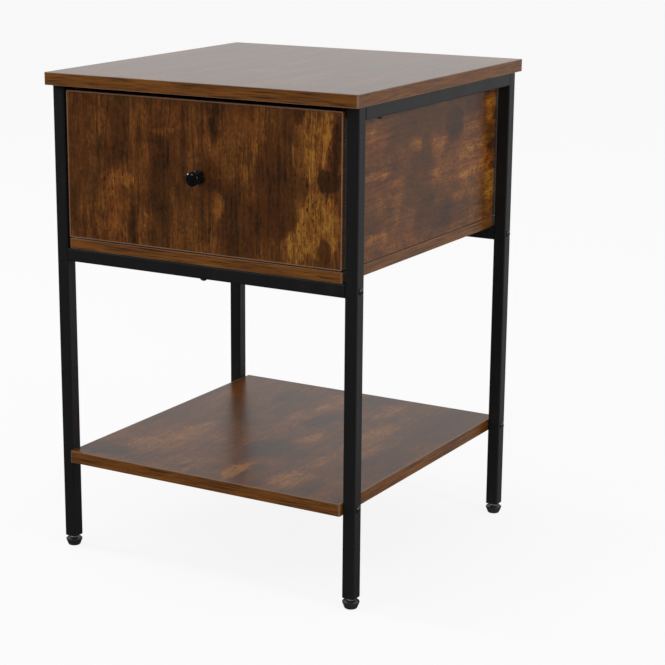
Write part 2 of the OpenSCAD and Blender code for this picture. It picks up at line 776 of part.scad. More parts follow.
tabletop_board();
tabletop_edge_bands();
leg(-1, -1);  // leg_front_left
leg(1, -1);  // leg_front_right
leg(-1, 1);  // leg_rear_left
leg(1, 1);  // leg_rear_right
top_rail(-1);  // top_rail_left
top_rail(1);  // top_rail_right
cross_rail(-1);  // front_cross_rail
cross_rail(1);  // rear_cross_rail
rail_end_nuts();
rail_bolts();
leg_end_plugs();
tabletop_screws();
bottom_board();
bottom_board_edge_bands();
bottom_board_screws();
side_panel(-1);  // side_panel_left
side_panel(1);  // side_panel_right
back_panel();
panel_base_screws();
panel_cam_bolts();
panel_cam_locks();
panel_dowels();
shelf_board();
shelf_edge_bands();
shelf_insert_nuts();
shelf_bolts();
cabinet_runner(-1);  // cabinet_runner_left
cabinet_runner(1);  // cabinet_runner_right
cabinet_runner_screws();
front_roller_axles();
drawer_front_board();
drawer_front_edge_bands();
drawer_side(-1);  // drawer_side_left
drawer_side(1);  // drawer_side_right
drawer_back();
drawer_bottom();
drawer_cam_bolts();
drawer_cam_locks();
drawer_box_screws();
drawer_runner(-1);  // drawer_runner_left
drawer_runner(1);  // drawer_runner_right
drawer_runner_screws();
rear_roller_axles();
drawer_knob();
knob_screw();
roller(-1, front_roller_in, front_roller_y);  // front_roller_left
roller(1, front_roller_in, front_roller_y);  // front_roller_right
roller(-1, rear_roller_in, rear_roller_y);  // rear_roller_left
roller(1, rear_roller_in, rear_roller_y);  // rear_roller_right
foot_pad(-1, -1);  // foot_pad_front_left
foot_pad(1, -1);  // foot_pad_front_right
foot_pad(-1, 1);  // foot_pad_rear_left
foot_pad(1, 1);  // foot_pad_rear_right
foot_stud(-1, -1);  // foot_stud_front_left
foot_stud(1, -1);  // foot_stud_front_right
foot_stud(-1, 1);  // foot_stud_rear_left
foot_stud(1, 1);  // foot_stud_rear_right
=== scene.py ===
"""Looks of a side table with one drawer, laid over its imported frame.

Every board is printed in rustic wood, the steel tube has a textured powder coat, and the small
turned pieces, such as the knob, the bolts and the levelling feet, are made finely from formulas.
Lengths are metres in the frame's own axes: X to the right, -Y to the front, Z up.
"""

import math

import bmesh
import bpy
import numpy as np
from bpy.props import FloatProperty, FloatVectorProperty, PointerProperty
from bpy.types import Operator, Panel, PropertyGroup
from mathutils import Matrix, Vector


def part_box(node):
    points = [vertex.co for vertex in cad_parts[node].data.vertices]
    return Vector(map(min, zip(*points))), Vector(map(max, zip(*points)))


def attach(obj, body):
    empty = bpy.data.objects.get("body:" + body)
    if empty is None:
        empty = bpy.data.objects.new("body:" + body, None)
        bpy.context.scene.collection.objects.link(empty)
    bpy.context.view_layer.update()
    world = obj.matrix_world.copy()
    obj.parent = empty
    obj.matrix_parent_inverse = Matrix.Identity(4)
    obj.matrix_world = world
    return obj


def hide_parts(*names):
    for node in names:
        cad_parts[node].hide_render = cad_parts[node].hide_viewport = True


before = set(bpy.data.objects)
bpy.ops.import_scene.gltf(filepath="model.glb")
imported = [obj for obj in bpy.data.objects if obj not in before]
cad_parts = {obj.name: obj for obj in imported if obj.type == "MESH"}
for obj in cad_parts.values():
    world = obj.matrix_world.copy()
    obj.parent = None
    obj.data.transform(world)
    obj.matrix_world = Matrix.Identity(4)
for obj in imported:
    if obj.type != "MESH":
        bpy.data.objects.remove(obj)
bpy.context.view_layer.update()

bl_info = {
    "name": "Side Table Finisher",
    "version": (1, 0, 0),
    "blender": (4, 5, 0),
    "location": "3D View > Sidebar > Side Table",
    "description": "Makes the finishes, the fine hardware and the studio of a side table with a drawer",
    "category": "Object",
}

MM = 0.001
CORNERS = ("front_left", "front_right", "rear_left", "rear_right")


# ---- Sizes and colours that a user may change ----


def colour_setting(name, description, default):
    """A colour property that a user may change."""
    return FloatVectorProperty(name=name, description=description, subtype="COLOR", size=3,
                               min=0.0, max=1.0, default=default)


class BoardSettings(PropertyGroup):
    """Printed boards and their bands"""

    brown: colour_setting("Brown", "Main brown of the print", (0.088, 0.0265, 0.0024))
    red_brown: colour_setting("Red brown", "Warmer fibres of the print", (0.178, 0.0545, 0.0045))
    dark_brown: colour_setting("Dark brown", "Clouds and knots of the print", (0.022, 0.0085, 0.0020))
    gold: colour_setting("Gold", "Golden fields of the print", (0.350, 0.1450, 0.0130))
    # Paler core of the bands' cut edges, and also the painted highlight on their rounded edges
    band_cut_and_highlight: colour_setting("Band edge", "Cut edges of the bands", (0.230, 0.140, 0.088))
    roughness: FloatProperty(
        name="Roughness", description="Roughness of the satin laminate",
        min=0.0, max=1.0, default=0.29, subtype="FACTOR")
    emboss: FloatProperty(
        name="Emboss", description="Depth of the grain pressed into the laminate",
        min=0.0, max=0.0005, default=0.000012, unit="LENGTH", precision=6)


class SteelSettings(PropertyGroup):
    """Square tube, bolts and runners"""

    coat: colour_setting("Powder coat", "Colour of the powder coat", (0.0105, 0.0105, 0.0115))
    coat_roughness: FloatProperty(
        name="Coat roughness", description="Roughness of the powder coat",
        min=0.0, max=1.0, default=0.42, subtype="FACTOR")
    corner_radius: FloatProperty(
        name="Corner radius", description="Radius on the long corners of the tube",
        min=0.0005, max=0.004, default=0.002, unit="LENGTH", precision=4)
    wall: FloatProperty(
        name="Wall", description="Wall of the square tube",
        min=0.0006, max=0.002, default=0.0012, unit="LENGTH", precision=4)


class HardwareSettings(PropertyGroup):
    """Knob, bolt heads and levelling feet"""

    knob: colour_setting("Knob", "Enamel of the knob", (0.0045, 0.0048, 0.0055))
    thread_pitch: FloatProperty(
        name="Thread pitch", description="Pitch of the levelling stud's thread",
        min=0.0005, max=0.002, default=0.001, unit="LENGTH", precision=4)
    socket_across: FloatProperty(
        name="Socket", description="Width across the corners of the socket in a frame bolt",
        min=0.002, max=0.005, default=0.0034, unit="LENGTH", precision=4)


class StudioSettings(PropertyGroup):
    """Floor, lights and camera"""

    floor: colour_setting("Floor", "Colour of the plain floor", (0.90, 0.90, 0.90))
    sky: FloatProperty(
        name="Surround", description="Brightness of the white surround", min=0.0, max=3.0, default=0.62)
    sheen: FloatProperty(
        name="Backdrop sheen", description="Brightness of the backdrop as satin faces reflect it",
        min=0.0, max=3.0, default=0.42)
    horizon: FloatProperty(
        name="Horizon sheen", description="Brightness of the backdrop's foot as satin faces reflect it",
        min=0.0, max=3.0, default=1.30)
    shadow: FloatProperty(
        name="Shadow", description="How much of the floor's shading the camera sees",
        min=0.0, max=1.0, default=0.13, subtype="FACTOR")
    key: FloatProperty(
        name="Key", description="Power of the key softbox", min=0.0, max=500.0, default=20.0, unit="POWER")
    lens: FloatProperty(
        name="Lens", description="Focal length of the camera", min=20.0, max=300.0, default=102.64,
        unit="CAMERA")
    camera_place: FloatVectorProperty(
        name="Camera", description="Where the camera stands", subtype="TRANSLATION", size=3,
        unit="LENGTH", default=(1.1089, -1.8497, 0.7871))
    camera_turn: FloatProperty(
        name="Turn", description="How far the camera is turned to the left",
        subtype="ANGLE", unit="ROTATION", default=math.radians(31.95))
    camera_tilt: FloatProperty(
        name="Tilt", description="How far the camera looks down",
        subtype="ANGLE", unit="ROTATION", default=math.radians(14.56))
    camera_roll: FloatProperty(
        name="Roll", description="How far the camera leans",
        subtype="ANGLE", unit="ROTATION", default=math.radians(-0.11))
    camera_shift: FloatVectorProperty(
        name="Shift", description="Shift of the lens across and up, as parts of the sensor", size=2,
        min=-0.5, max=0.5, default=(0.1136, 0.0188))


class SideTableSettings(PropertyGroup):
    """All settings of the side table"""

    boards: PointerProperty(type=BoardSettings)
    steel: PointerProperty(type=SteelSettings)
    hardware: PointerProperty(type=HardwareSettings)
    studio: PointerProperty(type=StudioSettings)


# ---- Surfaces from formulas ----


def closed_mesh(name, surfaces, sharp_angle=35.0):
    """One mesh from several surfaces, each a grid of points given as (points, wraps).

    points[i, j] is the surface's point at row i and column j. A quad joins every four
    neighbours, columns always wrap round, and rows wrap round too where wraps is true.
    Doubled points, such as those of a pole, are merged and the faces are turned outwards.
    """
    points, quads, first = [], [], 0
    for grid, wraps in surfaces:
        rows, columns = grid.shape[:2]
        index = first + np.arange(rows * columns).reshape(rows, columns)
        index = np.concatenate([index, index[:, :1]], axis=1)
        if wraps:
            index = np.concatenate([index, index[:1]], axis=0)
        corners = [index[:-1, :-1], index[:-1, 1:], index[1:, 1:], index[1:, :-1]]
        quads.append(np.stack(corners, -1).reshape(-1, 4))
        points.append(grid.reshape(-1, 3))
        first += rows * columns
    mesh = bpy.data.meshes.new(name)
    mesh.from_pydata(np.concatenate(points).tolist(), [], np.concatenate(quads).tolist())
    work = bmesh.new()
    work.from_mesh(mesh)
    bmesh.ops.remove_doubles(work, verts=work.verts, dist=1e-6)
    bmesh.ops.dissolve_degenerate(work, edges=work.edges, dist=1e-7)
    bmesh.ops.recalc_face_normals(work, faces=work.faces)
    work.to_mesh(mesh)
    work.free()
    mesh.shade_smooth()
    mesh.set_sharp_from_angle(angle=math.radians(sharp_angle))
    return mesh


def added(name, data):
    """A new object in the scene for a mesh, a light or a camera."""
    made = bpy.data.objects.new(name, data)
    bpy.context.scene.collection.objects.link(made)
    return made


def make_piece(name, surfaces, body, replaced, finish, sharp_angle=35.0):
    """A finished piece from its surfaces, riding on a body in place of CAD nodes."""
    piece = added(name, closed_mesh(name, surfaces, sharp_angle))
    piece.data.materials.append(finish)
    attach(piece, body)
    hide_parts(*replaced)
    return piece


def turned(profile, centre, axis, sides=72):
    """Surface turned about a line: each (radius, height) of the profile becomes a ring.

    A ring's point at angle a is centre + height * axis + radius * (cos a * u + sin a * v),
    where u and v are at right angles to the axis.
    """
    axis = np.array(axis, float)
    u = np.array([axis[1], axis[2], axis[0]])
    v = np.cross(axis, u)
    angle = np.linspace(0, 2 * np.pi, sides, endpoint=False)
    round_trip = np.cos(angle)[:, None] * u + np.sin(angle)[:, None] * v
    profile = np.array(profile, float)
    rings = profile[:, 0, None, None] * round_trip[None] + profile[:, 1, None, None] * axis
    return rings + np.array(centre, float)


def arc(centre_r, centre_h, radius_r, radius_h, start, end, steps):
    """Profile points on an ellipse: (centre_r + radius_r cos a, centre_h + radius_h sin a), a in degrees."""
    a = np.radians(np.linspace(start, end, steps))
    return list(zip(centre_r + radius_r * np.cos(a), centre_h + radius_h * np.sin(a)))


def square_section(half, radius, steps=8, support=0.00015):
    """Outline of a square with round corners, as an (n, 2) array going anticlockwise.

    A corner is the arc (c + r cos a, c + r sin a) about its own centre c = half - r. A support
    point stands on the flat just past each end of an arc, so that flats stay flat when shaded.
    """
    a = np.linspace(0, np.pi / 2, steps + 1)
    c = half - radius
    corner = np.stack([c + radius * np.cos(a), c + radius * np.sin(a)], -1)
    corner = np.concatenate([[[half, c - support]], corner, [[c - support, half]]])
    turns = [np.array([[math.cos(q), math.sin(q)], [-math.sin(q), math.cos(q)]])
             for q in np.arange(4) * np.pi / 2]
    return np.concatenate([corner @ turn for turn in turns])


def along_axis(section, level, axis):
    """Points of a flat section placed at a level along X, Y or Z."""
    flat = np.broadcast_to(level, section.shape[:-1])
    order = {"X": (flat, section[..., 0], section[..., 1]),
             "Y": (section[..., 1], flat, section[..., 0]),
             "Z": (section[..., 0], section[..., 1], flat)}
    return np.stack(order[axis], -1)


def square_tube(node, axis, radius, wall):
    """Hollow square tube over a CAD node's box: outer wall, end, inner wall and end, as one closed sweep."""
    low, high = (np.array(p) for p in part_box(node))
    k = "XYZ".index(axis)
    middle, half = (low + high) / 2, (high - low) / 2
    side = half[(k + 1) % 3]
    outer = square_section(side, radius)
    inner = square_section(side - wall, max(radius - wall, 0.0003))
    length = half[k]
    rings = [(outer, -length), (outer, length), (inner, length), (inner, -length)]
    grid = np.stack([along_axis(section, level, axis) for section, level in rings])
    return grid + middle


# ---- Building shader trees ----


def place(tree, kind, *values, **settings):
    """Adds a node. Values fill its inputs in order: a socket is linked, a number is set, None is skipped."""
    made = tree.nodes.new("ShaderNode" + kind)
    for key, value in settings.items():
        setattr(made, key, value)
    for socket, value in zip(made.inputs, values):
        if isinstance(value, bpy.types.NodeSocket):
            tree.links.new(value, socket)
        elif value is not None:
            socket.default_value = value
    return made


def calc(tree, operation, a, b=None, c=None):
    """A Math node's result."""
    return place(tree, "Math", a, b, c, operation=operation).outputs[0]


def vector_calc(tree, operation, a, b=None):
    """A Vector Math node's vector."""
    return place(tree, "VectorMath", a, b, operation=operation).outputs[0]


def ramp(tree, value, low, high, to_low=0.0, to_high=1.0):
    """Smooth step of a value from low to high."""
    return place(tree, "MapRange", value, low, high, to_low, to_high,
                 interpolation_type="SMOOTHSTEP").outputs[0]


def blend(tree, factor, a, b, mode="MIX"):
    """Colour a turned into colour b by a factor."""
    made = tree.nodes.new("ShaderNodeMix")
    made.data_type = "RGBA"
    made.blend_type = mode
    made.clamp_factor = True
    for index, value in ((0, factor), (6, a), (7, b)):
        if isinstance(value, bpy.types.NodeSocket):
            tree.links.new(value, made.inputs[index])
        else:
            made.inputs[index].default_value = value if index == 0 else (*value, 1.0)[:4]
    return made.outputs[2]


def noise(tree, vector, stretch, detail=4.0, roughness=0.55, distortion=0.0):
    """Fractal noise of a vector whose axes are first multiplied by the stretch."""
    scaled = vector_calc(tree, "MULTIPLY", vector, stretch)
    made = place(tree, "TexNoise", scaled, None, 1.0, detail, roughness)
    made.inputs["Distortion"].default_value = distortion
    return made.outputs["Fac"]


def shader_group(name, inputs, outputs):
    """An empty shader node group with named sockets: its tree, its inputs by name and its output node."""
    tree = bpy.data.node_groups.new(name, "ShaderNodeTree")
    for direction, sockets in (("INPUT", inputs), ("OUTPUT", outputs)):
        for label, (kind, default) in sockets.items():
            socket = tree.interface.new_socket(name=label, in_out=direction, socket_type="NodeSocket" + kind)
            if default is not None:
                socket.default_value = default
    entry = tree.nodes.new("NodeGroupInput")
    leave = tree.nodes.new("NodeGroupOutput")
    return tree, entry.outputs, leave


def use_group(tree, group, **values):
    """Places a group, with underscores in the names of its inputs read as spaces, and returns its outputs."""
    made = tree.nodes.new("ShaderNodeGroup")
    made.node_tree = group
    for key, value in values.items():
        socket = made.inputs[key.replace("_", " ")]
        if isinstance(value, bpy.types.NodeSocket):
            tree.links.new(value, socket)
        else:
            socket.default_value = value
    return made.outputs


def ragged_group():
    """Shifts a vector by noise of four sizes, so that what is drawn with it gets torn, fibrous edges."""
    tree, given, leave = shader_group(
        "Ragged outline",
        {"Vector": ("Vector", None), "Amount": ("Float", 1.0)}, {"Vector": ("Vector", None)})
    shifted = given["Vector"]
    for stretch, reach in (((28, 14, 20), (0.020, 0.028, 0)), ((110, 50, 60), (0.009, 0.018, 0)),
                           ((420, 160, 200), (0.0035, 0.009, 0)), ((1300, 420, 500), (0.0012, 0.004, 0))):
        scaled = vector_calc(tree, "MULTIPLY", given["Vector"], stretch)
        cloud = place(tree, "TexNoise", scaled, None, 1.0, 2.0, 0.5).outputs["Color"]
        centred = vector_calc(tree, "SUBTRACT", cloud, (0.5, 0.5, 0.5))
        shifted = vector_calc(tree, "ADD", shifted, vector_calc(tree, "MULTIPLY", centred, reach))
    mixed = place(tree, "VectorMath", vector_calc(tree, "SUBTRACT", shifted, given["Vector"]),
                  operation="SCALE")
    tree.links.new(given["Amount"], mixed.inputs["Scale"])
    tree.links.new(vector_calc(tree, "ADD", given["Vector"], mixed.outputs[0]), leave.inputs["Vector"])
    return tree


def patch_group():
    """Adds one soft oval to a mask: the larger of the mask so far and the oval's strength."""
    tree, given, leave = shader_group(
        "Oval patch",
        {"Vector": ("Vector", None), "Centre": ("Vector", None), "Inverse size": ("Vector", None),
         "Softness": ("Float", 0.4), "Strength": ("Float", 1.0), "Under": ("Float", 0.0)},
        {"Mask": ("Float", None)})
    offset = vector_calc(tree, "SUBTRACT", given["Vector"], given["Centre"])
    scaled = vector_calc(tree, "MULTIPLY", offset, given["Inverse size"])
    distance = place(tree, "VectorMath", scaled, operation="LENGTH").outputs["Value"]
    inside = ramp(tree, distance, calc(tree, "ADD", 1.0, given["Softness"]),
                  calc(tree, "SUBTRACT", 1.0, given["Softness"]))
    strong = calc(tree, "MULTIPLY", inside, given["Strength"])
    tree.links.new(calc(tree, "MAXIMUM", strong, given["Under"]), leave.inputs["Mask"])
    return tree


def print_group():
    """Rustic wood print. The vector runs across the grain in X and along it in Y, in metres.

    Noises of six sizes, from plank-wide zones down to single fibres, add up to one tone. Clouds pull the
    tone down and golden fields pull it up, and a ramp of browns turns it into colour.
    """
    tree, given, leave = shader_group(
        "Rustic wood print",
        {"Vector": ("Vector", None), "Dark": ("Float", 0.0), "Gold": ("Float", 0.0),
         "Clouding": ("Float", 1.0), "Lines": ("Float", 1.0), "Tone": ("Float", 0.5),
         "Brown": ("Color", None), "Red brown": ("Color", None), "Dark brown": ("Color", None),
         "Golden": ("Color", None)},
        {"Color": ("Color", None), "Height": ("Float", None), "Satin": ("Float", None)})
    vector = given["Vector"]
    sway = calc(tree, "MULTIPLY_ADD", noise(tree, vector, (26, 7, 20), 3.0), 0.016, -0.008)
    flowing = vector_calc(tree, "ADD", vector, place(tree, "CombineXYZ", sway, 0.0, 0.0).outputs[0])
    zones = noise(tree, flowing, (34, 3.0, 20), 3.0, 0.55)
    streaks = noise(tree, flowing, (150, 8, 60), 5.0, 0.7)
    fibres = ramp(tree, noise(tree, flowing, (430, 15, 100), 4.0, 0.7), 0.36, 0.64, 0.25, 0.75)
    hairs = noise(tree, flowing, (1150, 80, 200), 3.0, 0.7)
    mottle = noise(tree, vector, (62, 40, 30), 6.0, 0.72)
    flecks = noise(tree, vector, (330, 190, 300), 3.0, 0.7)
    wear = ramp(tree, noise(tree, vector, (30, 12, 20), 3.0, 0.6), 0.36, 0.62, 0.35, 1.15)
    line_weight = calc(tree, "MULTIPLY", wear, given["Lines"])

    tone = given["Tone"]
    for layer, weight, by_lines in ((zones, 0.45, False), (streaks, 0.55, True), (fibres, 0.50, True),
                                    (hairs, 0.75, True), (mottle, 0.85, False), (flecks, 0.60, False)):
        part = calc(tree, "MULTIPLY", calc(tree, "SUBTRACT", layer, 0.5), weight)
        tone = calc(tree, "ADD", tone, calc(tree, "MULTIPLY", part, line_weight) if by_lines else part)
    cloud = noise(tree, vector, (15, 8, 10), 4.0, 0.55, 0.5)
    wide_cloud = calc(tree, "MULTIPLY", ramp(tree, cloud, 0.53, 0.66, 0.0, 0.7), given["Clouding"])
    wide_field = calc(tree, "MULTIPLY", ramp(tree, cloud, 0.44, 0.33, 0.0, 0.7), given["Clouding"])
    gold = calc(tree, "MAXIMUM", wide_field, given["Gold"])
    dark = calc(tree, "MAXIMUM", wide_cloud, given["Dark"])
    golden_tone = calc(tree, "MULTIPLY_ADD", calc(tree, "SUBTRACT", tone, 0.5), 0.9, 0.87)
    tone = place(tree, "Mix", calc(tree, "MULTIPLY", gold, 0.85), None, tone, golden_tone).outputs[0]
    cloudy_tone = calc(tree, "MULTIPLY_ADD", calc(tree, "SUBTRACT", tone, 0.5), 0.45, 0.23)
    tone = place(tree, "Mix", calc(tree, "MULTIPLY", dark, 0.92), None, tone, cloudy_tone).outputs[0]
    dash = ramp(tree, noise(tree, flowing, (560, 120, 100), 4.0, 0.75), 0.57, 0.66)
    pores = calc(tree, "MULTIPLY", dash, calc(tree, "MULTIPLY_ADD", gold, 0.85, 0.14))
    tone = calc(tree, "SUBTRACT", tone, pores)

    colour = given["Dark brown"]
    for reached, low, high in ((given["Brown"], 0.10, 0.50), (given["Red brown"], 0.45, 0.76),
                               (given["Golden"], 0.70, 1.02)):
        colour = blend(tree, ramp(tree, tone, low, high), colour, reached)
    hue = ramp(tree, noise(tree, vector, (24, 9, 12), 3.0, 0.6), 0.36, 0.64)
    colour = blend(tree, 1.0, colour, blend(tree, hue, (1.05, 0.96, 0.90), (0.97, 1.02, 1.00)), "MULTIPLY")
    raised = calc(tree, "MULTIPLY_ADD", fibres, 0.6, calc(tree, "MULTIPLY", hairs, 0.4))
    height = calc(tree, "SUBTRACT", raised, calc(tree, "MULTIPLY", pores, 0.5))
    satin = calc(tree, "MULTIPLY_ADD", dark, -0.03, calc(tree, "MULTIPLY_ADD", mottle, 0.2, 0.90))
    tree.links.new(colour, leave.inputs["Color"])
    tree.links.new(height, leave.inputs["Height"])
    tree.links.new(satin, leave.inputs["Satin"])
    return tree


def rounding_group():
    """Mask of rounded edges: one minus the largest part of the normal, which is nought on a flat face."""
    tree, given, leave = shader_group(
        "Rounded edges", {"Normal": ("Vector", None)}, {"Mask": ("Float", None)})
    size = place(tree, "SeparateXYZ", vector_calc(tree, "ABSOLUTE", given["Normal"])).outputs
    largest = calc(tree, "MAXIMUM", calc(tree, "MAXIMUM", size[0], size[1]), size[2])
    tree.links.new(ramp(tree, largest, 0.995, 0.90), leave.inputs["Mask"])
    return tree


def peel_group():
    """Fine pebbled surface of a powder coat or a moulding, with broad dull and shiny areas."""
    tree, given, leave = shader_group(
        "Fine texture",
        {"Vector": ("Vector", None), "Grains per metre": ("Float", 900.0)},
        {"Height": ("Float", None), "Sheen": ("Float", None)})
    fine = place(tree, "TexNoise", given["Vector"], None, given["Grains per metre"], 2.0, 0.5).outputs["Fac"]
    broad = place(tree, "TexNoise", given["Vector"], None, 22.0, 3.0, 0.6).outputs["Fac"]
    grit = ramp(tree, fine, 0.35, 0.65)
    tree.links.new(grit, leave.inputs["Height"])
    tree.links.new(calc(tree, "MULTIPLY_ADD", broad, 0.7, 0.65), leave.inputs["Sheen"])
    return tree


def shared(make):
    """The node group that a function makes, built the first time and found again after that."""
    name = "side_table." + make.__name__
    group = bpy.data.node_groups.get(name)
    if group is None:
        group = make()
        group.name = name
    return group


def new_finish(name):
    """A material with its tree, its Principled shader and its Texture Coordinate outputs."""
    made = bpy.data.materials.new(name)
    made.use_nodes = True
    tree = made.node_tree
    shader = tree.nodes["Principled BSDF"]
    return made, tree, shader, tree.nodes.new("ShaderNodeTexCoord").outputs


def bump(tree, shader, height, depth):
    """Feeds a height to the shader's normal, as a relief of a real depth."""
    made = place(tree, "Bump", 1.0, depth)
    tree.links.new(height, made.inputs["Height"])
    tree.links.new(made.outputs["Normal"], shader.inputs["Normal"])


def rgb(colour):
    """A colour property as a tuple with full alpha."""
    return (*colour[:3], 1.0)


def grain_vector(tree, coordinates, across, along, centre, seed):
    """Object coordinates turned so that X runs across the grain and Y along it, about a centre."""
    moved = vector_calc(tree, "SUBTRACT", coordinates["Object"], tuple(centre))
    parts = dict(zip("XYZ", place(tree, "SeparateXYZ", moved).outputs))
    third = ({"X", "Y", "Z"} - {across, along}).pop()
    depth = calc(tree, "ADD", parts[third], seed)
    return place(tree, "CombineXYZ", parts[across], parts[along], depth).outputs[0]


def patch_mask(tree, vector, patches):
    """Mask of soft ovals: (across, along, half width, half height, strength, softness), in millimetres."""
    mask = 0.0
    flat = vector_calc(tree, "MULTIPLY", vector, (1, 1, 0))
    for across, along, wide, high, strength, softness in patches:
        mask = use_group(
            tree, shared(patch_group), Vector=flat, Centre=(across * MM, along * MM, 0.0),
            Inverse_size=(1 / (wide * MM), 1 / (high * MM), 1.0), Softness=softness, Strength=strength,
            Under=mask)["Mask"]
    return mask


def printed_board(name, settings, across, along, node, seed, dark=(), gold=(), clouding=1.0, lines=1.0,
                  tone=0.5):
    """Satin laminate with the rustic print, and with clouds and golden fields where they are listed."""
    made, tree, shader, coordinates = new_finish(name)
    low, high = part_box(node)
    vector = grain_vector(tree, coordinates, across, along, (low + high) / 2, seed)
    torn = use_group(tree, shared(ragged_group), Vector=vector, Amount=1.0)["Vector"]
    wood = use_group(
        tree, shared(print_group), Vector=vector, Dark=patch_mask(tree, torn, dark),
        Gold=patch_mask(tree, torn, gold), Clouding=clouding, Lines=lines, Tone=tone,
        Brown=rgb(settings.brown), Red_brown=rgb(settings.red_brown),
        Dark_brown=rgb(settings.dark_brown), Golden=rgb(settings.gold))
    tree.links.new(wood["Color"], shader.inputs["Base Color"])
    tree.links.new(calc(tree, "MULTIPLY", wood["Satin"], settings.roughness), shader.inputs["Roughness"])
    bump(tree, shader, wood["Height"], settings.emboss)
    return made


def edge_band(name, settings, face, seed, cut_and_highlight_gain=1.0):
    """Printed band: grain along the board's edge, paler cut edges on the faces along one axis, and a painted
    highlight on its rounded edges.
    """
    made, tree, shader, coordinates = new_finish(name)
    parts = place(tree, "SeparateXYZ", coordinates["Object"]).outputs
    length = calc(tree, "ADD", calc(tree, "ADD", parts[0], parts[1]), seed)
    vector = place(tree, "CombineXYZ", parts[2], length, seed).outputs[0]
    streak = noise(tree, vector, (560, 9, 1), 5.0, 0.7)
    fleck = noise(tree, vector, (900, 22, 1), 3.0, 0.6)
    broad = noise(tree, vector, (110, 10, 1), 3.0, 0.6)
    wood = blend(tree, ramp(tree, streak, 0.36, 0.58), rgb(settings.brown), rgb(settings.red_brown))
    wood = blend(tree, ramp(tree, broad, 0.35, 0.70, 0.0, 0.22), wood, rgb(settings.gold))
    wood = blend(tree, ramp(tree, fleck, 0.50, 0.62, 0.0, 0.75), wood, rgb(settings.dark_brown))
    # Painted highlight: rounded edges are lightened towards the band edge colour as if they caught the light;
    # the cut faces get the band's own paler core
    rounded = use_group(tree, shared(rounding_group), Normal=coordinates["Normal"])["Mask"]
    size = place(tree, "SeparateXYZ", vector_calc(tree, "ABSOLUTE", coordinates["Normal"])).outputs
    cut = ramp(tree, size["XYZ".index(face)], 0.80, 0.95)
    cut_edge_and_painted_highlight = calc(tree, "MAXIMUM", calc(tree, "MULTIPLY", rounded, 0.55), cut)
    cut_edge_and_painted_highlight = calc(tree, "MULTIPLY", cut_edge_and_painted_highlight, cut_and_highlight_gain)
    colour = blend(tree, cut_edge_and_painted_highlight, wood, rgb(settings.band_cut_and_highlight))
    tree.links.new(colour, shader.inputs["Base Color"])
    tree.links.new(ramp(tree, streak, 0.3, 0.7, 0.34, 0.26), shader.inputs["Roughness"])
    bump(tree, shader, streak, settings.emboss)
    return made


def plain_laminate(name, colour, darker, across, along, node, seed, roughness=0.36):
    """Plain brown laminate or faced hardboard with a faint even grain."""
    made, tree, shader, coordinates = new_finish(name)
    low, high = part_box(node)
    vector = grain_vector(tree, coordinates, across, along, (low + high) / 2, seed)
    grain = noise(tree, vector, (420, 9, 40), 5.0, 0.6)
    cloud = noise(tree, vector, (9, 4, 9), 2.0)
    mixed = calc(tree, "MULTIPLY_ADD", ramp(tree, grain, 0.32, 0.66), 0.7, calc(tree, "MULTIPLY", cloud, 0.3))
    tree.links.new(blend(tree, mixed, (*darker, 1.0), (*colour, 1.0)), shader.inputs["Base Color"])
    satin = ramp(tree, grain, 0.3, 0.7, roughness + 0.06, roughness - 0.04)
    tree.links.new(satin, shader.inputs["Roughness"])
    bump(tree, shader, grain, 0.00002)
    return made


def powder_coat(settings):
    """Black powder coat: very dark, with a fine orange peel, dull and shiny areas and a little dust."""
    made, tree, shader, coordinates = new_finish("powder_coat")
    peel = use_group(tree, shared(peel_group), Vector=coordinates["Object"], Grains_per_metre=1100.0)
    dust = ramp(tree, noise(tree, coordinates["Object"], (40, 40, 12), 5.0, 0.7), 0.52, 0.75, 0.0, 0.25)
    dusty = blend(tree, dust, rgb(settings.coat), tuple(0.012 + 1.4 * c for c in settings.coat[:3]))
    tree.links.new(dusty, shader.inputs["Base Color"])
    tree.links.new(calc(tree, "MULTIPLY", peel["Sheen"], settings.coat_roughness), shader.inputs["Roughness"])
    shader.inputs["Specular IOR Level"].default_value = 0.32
    bump(tree, shader, peel["Height"], 0.00002)
    return made


def smooth_finish(name, colour, roughness, coat=0.0, grains=1500.0, depth=0.000004, mottle=0.15,
                  specular=0.5):
    """A moulded, plated or enamelled surface: nearly even, with a fine texture and a slight mottle."""
    made, tree, shader, coordinates = new_finish(name)
    peel = use_group(tree, shared(peel_group), Vector=coordinates["Object"], Grains_per_metre=grains)
    spots = ramp(tree, noise(tree, coordinates["Object"], (260, 260, 260), 4.0, 0.6), 0.35, 0.7, 0.0, mottle)
    paler = tuple(min(1.0, 0.004 + 1.35 * c) for c in colour)
    tree.links.new(blend(tree, spots, (*colour, 1.0), (*paler, 1.0)), shader.inputs["Base Color"])
    tree.links.new(calc(tree, "MULTIPLY", peel["Sheen"], roughness), shader.inputs["Roughness"])
    shader.inputs["Specular IOR Level"].default_value = specular
    shader.inputs["Coat Weight"].default_value = coat
    shader.inputs["Coat Roughness"].default_value = 0.04
    bump(tree, shader, peel["Height"], depth)
    return made


def brushed_zinc(name="zinc_plate", metallic=1.0):
    """Zinc-plated steel: bright metal with spangles, faint blue and yellow tints and fine scratches."""
    made, tree, shader, coordinates = new_finish(name)
    spangle = place(tree, "TexVoronoi", coordinates["Object"], None, 700.0).outputs["Color"]
    level = place(tree, "SeparateColor", spangle).outputs[0]
    tint = blend(tree, level, (0.58, 0.59, 0.60, 1.0), (0.70, 0.69, 0.66, 1.0))
    scratch = noise(tree, coordinates["Object"], (300, 2400, 300), 3.0, 0.6)
    tree.links.new(tint, shader.inputs["Base Color"])
    tree.links.new(ramp(tree, scratch, 0.3, 0.7, 0.26, 0.40), shader.inputs["Roughness"])
    shader.inputs["Metallic"].default_value = metallic
    bump(tree, shader, scratch, 0.000004)
    return made


def give(finish, *nodes):
    """Puts a finish on CAD nodes, in every slot that they have."""
    for node in nodes:
        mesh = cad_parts[node].data
        for index in range(len(mesh.materials)):
            mesh.materials[index] = finish
        if not mesh.materials:
            mesh.materials.append(finish)


